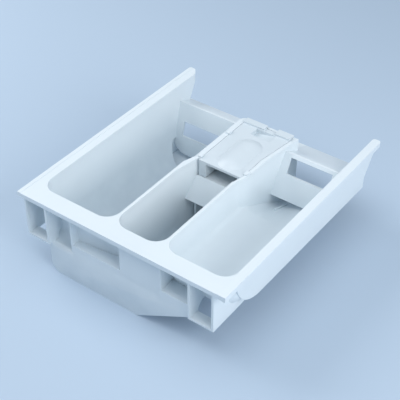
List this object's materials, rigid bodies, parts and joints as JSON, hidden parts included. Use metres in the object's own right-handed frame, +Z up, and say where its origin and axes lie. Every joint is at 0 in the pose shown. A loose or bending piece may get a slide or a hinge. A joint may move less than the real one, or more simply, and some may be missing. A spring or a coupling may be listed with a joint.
{
  "type": "detergent dispenser drawer",
  "caption": "White moulded drawer for washing powder and softener, with compartments side by side, a siphon chamber under a loose cap and clip sockets at the front.",
  "frame": {"origin": "centre of the drawer's footprint, on the surface that it stands on", "axes": "+X to the right seen from the front, +Y towards the rear of the machine, +Z up out of the compartments"},
  "size_m": [0.19, 0.217, 0.073],
  "materials": {
    "tray_plastic": "moulded, satin, cool white",
    "cap_plastic": "moulded, satin, cool white"
  },
  "bodies": {
    "root": {"drawer_tray": "tray_plastic", "siphon_cap": "cap_plastic"}
  },
  "joints": []
}
